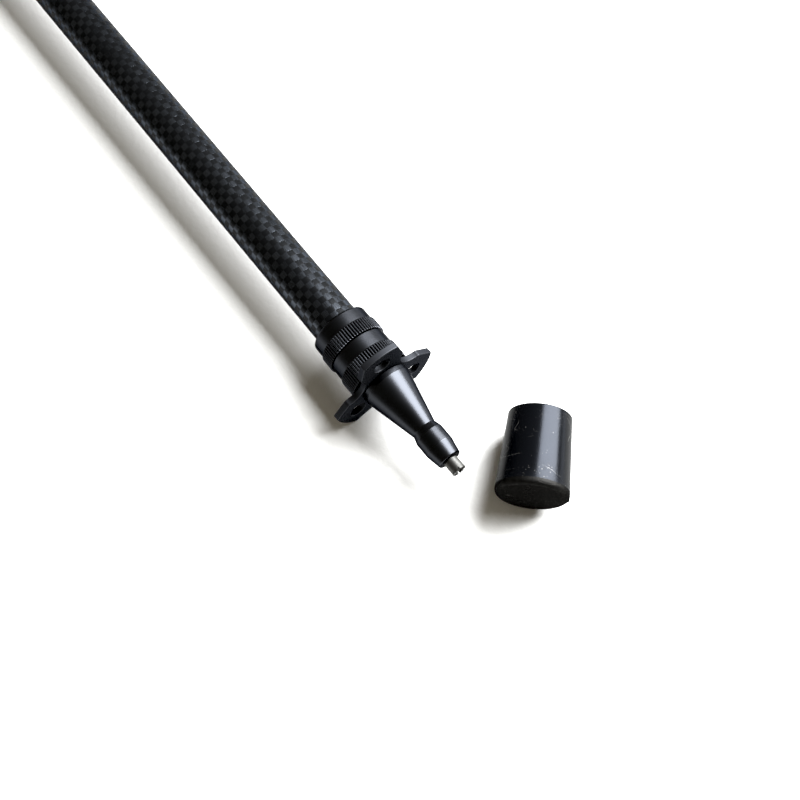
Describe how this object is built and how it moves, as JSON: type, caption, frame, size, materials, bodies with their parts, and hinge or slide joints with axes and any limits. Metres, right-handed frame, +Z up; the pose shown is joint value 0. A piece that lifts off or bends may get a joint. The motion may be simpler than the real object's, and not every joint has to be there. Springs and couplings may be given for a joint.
{
  "type": "prism pole",
  "caption": "Telescopic carbon surveying prism pole with eared foot plate, hard-tipped point, lever clamp, circular level, threaded top stud and a loose rubber boot.",
  "frame": {"origin": "on the bench plane, under the middle of the whole object's footprint", "axes": "+X along the pole's axis towards the point, +Z up from the bench that the pole lies on"},
  "size_m": [0.8328, 0.0906, 0.0727],
  "materials": {
    "carbon": "satin plain-weave carbon fibre under clear resin",
    "black_anodised": "turned aluminium, fine satin black anodising",
    "hard_steel": "ground hardened steel",
    "zinc_steel": "zinc-plated steel",
    "rubber": "moulded black rubber, fine scratches",
    "black_nylon": "moulded black nylon",
    "vial": "clear vial with yellow-green spirit"
  },
  "bodies": {
    "lower_section": {"lower_tube": "carbon", "foot_collar": "black_anodised", "point_stud": "zinc_steel", "point_body": "black_anodised", "tip_insert": "hard_steel", "clamp_body": "black_anodised", "clamp_bush": "black_nylon", "clamp_bolt": "zinc_steel", "thumb_nut": "black_anodised", "level_bracket": "black_anodised", "pinch_screw": "zinc_steel", "level_cup": "black_nylon", "level_vial": "vial", "level_screw_1": "zinc_steel", "level_screw_2": "zinc_steel", "level_screw_3": "zinc_steel"},
    "upper_section": {"inner_tube": "carbon", "guide_plug": "black_nylon", "top_ferrule": "black_anodised", "prism_stud": "zinc_steel"},
    "lever": {"clamp_lever": "black_anodised", "lever_pin": "hard_steel"},
    "lock_ring": {"lock_ring": "black_anodised"},
    "foot_plate": {"eared_plate": "black_anodised"},
    "lock_nut": {"lock_nut": "black_anodised"},
    "boot": {"rubber_boot": "rubber", "boot_washer": "zinc_steel"}
  },
  "joints": [
    {"name": "telescope", "type": "slide", "parent": "lower_section", "child": "upper_section", "axis": [-1, 0, 0], "range_m": [0, 0.42]},
    {"name": "clamp_lever", "type": "hinge", "parent": "lower_section", "child": "lever", "pos_m": [-0.32395, -0.00114, 0.04269], "axis": [1, 0, 0], "range_deg": [0, 120]},
    {"name": "lock_ring_turn", "type": "hinge", "parent": "lower_section", "child": "lock_ring", "pos_m": [0.30165, -0.01594, 0.02269], "axis": [1, 0, 0], "range_deg": [0, 90]},
    {"name": "foot_plate_turn", "type": "hinge", "parent": "lower_section", "child": "foot_plate", "pos_m": [0.31265, -0.01594, 0.02269], "axis": [1, 0, 0], "continuous": true},
    {"name": "lock_nut_turn", "type": "hinge", "parent": "upper_section", "child": "lock_nut", "pos_m": [-0.40265, -0.01594, 0.02269], "axis": [1, 0, 0], "continuous": true},
    {"name": "boot_slide", "type": "slide", "parent": "lower_section", "child": "boot", "axis": [0.6959, -0.7181, 0], "range_m": [-0.04, 0.06]}
  ]
}
